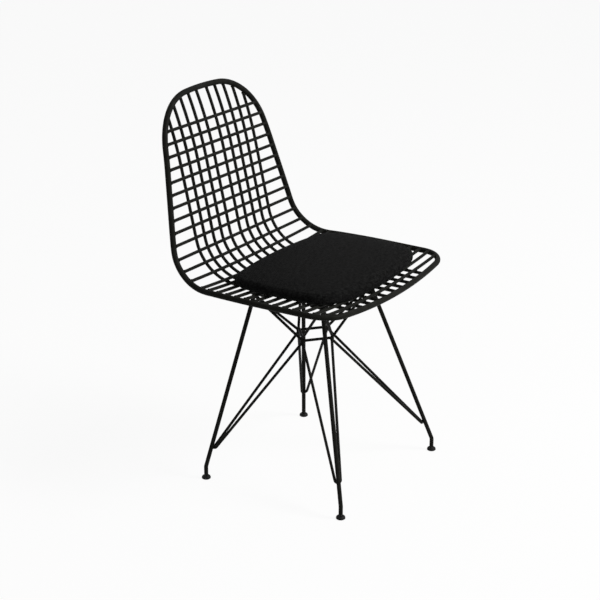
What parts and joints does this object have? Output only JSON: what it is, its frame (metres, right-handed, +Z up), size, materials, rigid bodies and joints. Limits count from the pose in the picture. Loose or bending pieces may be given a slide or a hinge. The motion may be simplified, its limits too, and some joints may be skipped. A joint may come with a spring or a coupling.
{
  "type": "wire mesh dining chair",
  "caption": "Black wire shell side chair with a welded rim and crossed wires, a braced rod base, self-levelling glides and a loose padded seat cushion.",
  "frame": {"origin": "on the floor, under the middle of the chair's width and depth", "axes": "+Z up, the sitter faces -Y; left in a node's name is the -X side, as seen from in front of the chair; the base's centre lies 64 mm in front of the origin"},
  "size_m": [0.507, 0.5068, 0.8338],
  "materials": {
    "shell_black": "satin black coating",
    "base_black": "satin black coating",
    "bush_rubber": "matt",
    "bolt_steel": "blackened",
    "stud_steel": "zinc plated",
    "glide_nylon": "fine texture",
    "cushion_cover": "close basket weave, matt",
    "strap_webbing": "plain woven webbing"
  },
  "bodies": {
    "chair": {"shell_rim": "shell_black", "longitudinal_wire_01": "shell_black", "longitudinal_wire_02": "shell_black", "longitudinal_wire_03": "shell_black", "longitudinal_wire_04": "shell_black", "longitudinal_wire_05": "shell_black", "longitudinal_wire_06": "shell_black", "longitudinal_wire_07": "shell_black", "longitudinal_wire_08": "shell_black", "longitudinal_wire_09": "shell_black", "longitudinal_wire_10": "shell_black", "lateral_wire_01": "shell_black", "lateral_wire_02": "shell_black", "lateral_wire_03": "shell_black", "lateral_wire_04": "shell_black", "lateral_wire_05": "shell_black", "lateral_wire_06": "shell_black", "lateral_wire_07": "shell_black", "lateral_wire_08": "shell_black", "lateral_wire_09": "shell_black", "lateral_wire_10": "shell_black", "lateral_wire_11": "shell_black", "lateral_wire_12": "shell_black", "lateral_wire_13": "shell_black", "lateral_wire_14": "shell_black", "lateral_wire_15": "shell_black", "lateral_wire_16": "shell_black", "lateral_wire_17": "shell_black", "lateral_wire_18": "shell_black", "lateral_wire_19": "shell_black", "lateral_wire_20": "shell_black", "lateral_wire_21": "shell_black", "lateral_wire_22": "shell_black", "lateral_wire_23": "shell_black", "lateral_wire_24": "shell_black", "lateral_wire_25": "shell_black", "lateral_wire_26": "shell_black", "lateral_wire_27": "shell_black", "leg_front_left": "base_black", "leg_front_right": "base_black", "leg_rear_left": "base_black", "leg_rear_right": "base_black", "cross_brace_a": "base_black", "cross_brace_b": "base_black", "cross_brace_c": "base_black", "cross_brace_d": "base_black", "leg_hairpin_front_left": "base_black", "leg_hairpin_front_right": "base_black", "leg_hairpin_rear_left": "base_black", "leg_hairpin_rear_right": "base_black", "shell_mount_plates": "shell_black", "mount_bushes": "bush_rubber", "mount_bolts": "bolt_steel", "glide_studs": "stud_steel", "seat_cushion": "cushion_cover", "cushion_straps": "strap_webbing"},
    "front_left_foot": {"glide_front_left": "glide_nylon"},
    "front_right_foot": {"glide_front_right": "glide_nylon"},
    "rear_left_foot": {"glide_rear_left": "glide_nylon"},
    "rear_right_foot": {"glide_rear_right": "glide_nylon"}
  },
  "joints": [
    {"name": "front_left_glide_tilt", "type": "hinge", "parent": "chair", "child": "front_left_foot", "pos_m": [-0.199, -0.23852, 0.0046], "axis": [1, 0, 0], "range_deg": [-8, 8]},
    {"name": "front_right_glide_tilt", "type": "hinge", "parent": "chair", "child": "front_right_foot", "pos_m": [0.199, -0.23852, 0.0046], "axis": [1, 0, 0], "range_deg": [-8, 8]},
    {"name": "rear_left_glide_tilt", "type": "hinge", "parent": "chair", "child": "rear_left_foot", "pos_m": [-0.199, 0.10988, 0.0046], "axis": [1, 0, 0], "range_deg": [-8, 8]},
    {"name": "rear_right_glide_tilt", "type": "hinge", "parent": "chair", "child": "rear_right_foot", "pos_m": [0.199, 0.10988, 0.0046], "axis": [1, 0, 0], "range_deg": [-8, 8]}
  ]
}
